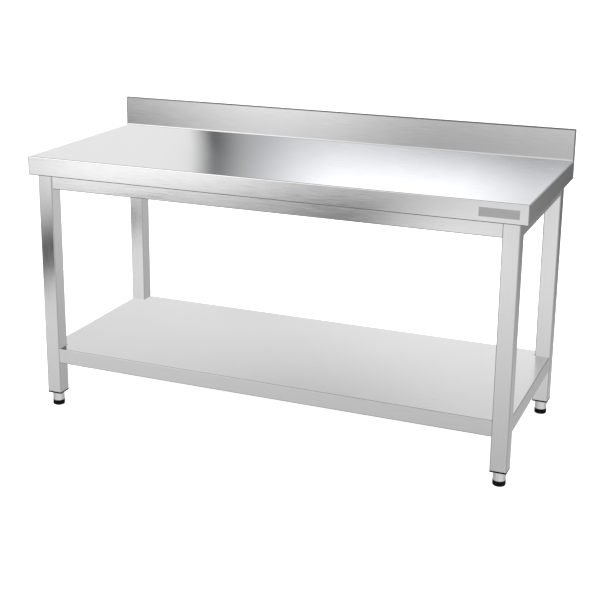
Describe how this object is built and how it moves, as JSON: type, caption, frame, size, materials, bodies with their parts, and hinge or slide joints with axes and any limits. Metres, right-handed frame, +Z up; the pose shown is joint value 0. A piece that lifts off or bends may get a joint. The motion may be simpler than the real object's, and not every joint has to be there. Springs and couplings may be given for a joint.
{
  "type": "stainless work table",
  "caption": "Stainless kitchen work table with folded worktop, rear upstand, square-tube legs, notched lower shelf and screw-adjustable sleeved feet.",
  "frame": {"origin": "on the floor, under the middle of the table's length and depth, with the feet at their rest setting", "axes": "+X along the table towards its right end as seen from the front, +Y from the front to the upstand, +Z up"},
  "size_m": [1.6, 0.6506, 0.95],
  "materials": {
    "worktop_stainless": "fine brushed along the length",
    "shelf_stainless": "fine brushed along the length",
    "frame_stainless": "brushed along each profile",
    "stiffener_stainless": "mill finish",
    "foot_stainless": "turned",
    "fastener_steel": "bright zinc",
    "laminated_board": "white melamine",
    "badge_grey": "satin grey, blank",
    "black_plastic": "moulded"
  },
  "bodies": {
    "table": {"worktop_pan": "worktop_stainless", "upstand_end_cap_left": "worktop_stainless", "upstand_end_cap_right": "worktop_stainless", "worktop_stiffener": "stiffener_stainless", "shelf_stiffener": "stiffener_stainless", "rail_front": "frame_stainless", "rail_rear": "frame_stainless", "rail_left": "frame_stainless", "rail_right": "frame_stainless", "shelf_pan": "shelf_stainless", "worktop_board": "laminated_board", "badge_plate": "badge_grey", "board_screws": "fastener_steel", "rail_bolts": "fastener_steel", "rail_rivet_nuts": "fastener_steel", "shelf_bolts": "fastener_steel", "shelf_rivet_nuts": "fastener_steel", "leg_front_left": "frame_stainless", "foot_insert_front_left": "black_plastic", "foot_nut_front_left": "fastener_steel", "leg_front_right": "frame_stainless", "foot_insert_front_right": "black_plastic", "foot_nut_front_right": "fastener_steel", "leg_rear_left": "frame_stainless", "foot_insert_rear_left": "black_plastic", "foot_nut_rear_left": "fastener_steel", "leg_rear_right": "frame_stainless", "foot_insert_rear_right": "black_plastic", "foot_nut_rear_right": "fastener_steel"},
    "foot_base_front_left": {"foot_pad_front_left": "black_plastic"},
    "foot_screw_front_left": {"foot_sleeve_front_left": "foot_stainless", "foot_spindle_front_left": "fastener_steel"},
    "foot_base_front_right": {"foot_pad_front_right": "black_plastic"},
    "foot_screw_front_right": {"foot_sleeve_front_right": "foot_stainless", "foot_spindle_front_right": "fastener_steel"},
    "foot_base_rear_left": {"foot_pad_rear_left": "black_plastic"},
    "foot_screw_rear_left": {"foot_sleeve_rear_left": "foot_stainless", "foot_spindle_rear_left": "fastener_steel"},
    "foot_base_rear_right": {"foot_pad_rear_right": "black_plastic"},
    "foot_screw_rear_right": {"foot_sleeve_rear_right": "foot_stainless", "foot_spindle_rear_right": "fastener_steel"}
  },
  "joints": [
    {"name": "foot_travel_front_left", "type": "slide", "parent": "table", "child": "foot_base_front_left", "axis": [0, 0, -1], "range_m": [-0.02, 0.025]},
    {"name": "foot_turn_front_left", "type": "hinge", "parent": "foot_base_front_left", "child": "foot_screw_front_left", "pos_m": [-0.75, -0.285, 0.04], "axis": [0, 0, -1], "range_deg": [-4790, 5990]},
    {"name": "foot_travel_front_right", "type": "slide", "parent": "table", "child": "foot_base_front_right", "axis": [0, 0, -1], "range_m": [-0.02, 0.025]},
    {"name": "foot_turn_front_right", "type": "hinge", "parent": "foot_base_front_right", "child": "foot_screw_front_right", "pos_m": [0.75, -0.285, 0.04], "axis": [0, 0, -1], "range_deg": [-4790, 5990]},
    {"name": "foot_travel_rear_left", "type": "slide", "parent": "table", "child": "foot_base_rear_left", "axis": [0, 0, -1], "range_m": [-0.02, 0.025]},
    {"name": "foot_turn_rear_left", "type": "hinge", "parent": "foot_base_rear_left", "child": "foot_screw_rear_left", "pos_m": [-0.75, 0.296, 0.04], "axis": [0, 0, -1], "range_deg": [-4790, 5990]},
    {"name": "foot_travel_rear_right", "type": "slide", "parent": "table", "child": "foot_base_rear_right", "axis": [0, 0, -1], "range_m": [-0.02, 0.025]},
    {"name": "foot_turn_rear_right", "type": "hinge", "parent": "foot_base_rear_right", "child": "foot_screw_rear_right", "pos_m": [0.75, 0.296, 0.04], "axis": [0, 0, -1], "range_deg": [-4790, 5990]}
  ],
  "couplings": [
    {"joint": "foot_travel_front_left", "follows": "foot_turn_front_left", "m_per_rad": 0.00023873},
    {"joint": "foot_travel_front_right", "follows": "foot_turn_front_right", "m_per_rad": 0.00023873},
    {"joint": "foot_travel_rear_left", "follows": "foot_turn_rear_left", "m_per_rad": 0.00023873},
    {"joint": "foot_travel_rear_right", "follows": "foot_turn_rear_right", "m_per_rad": 0.00023873}
  ]
}
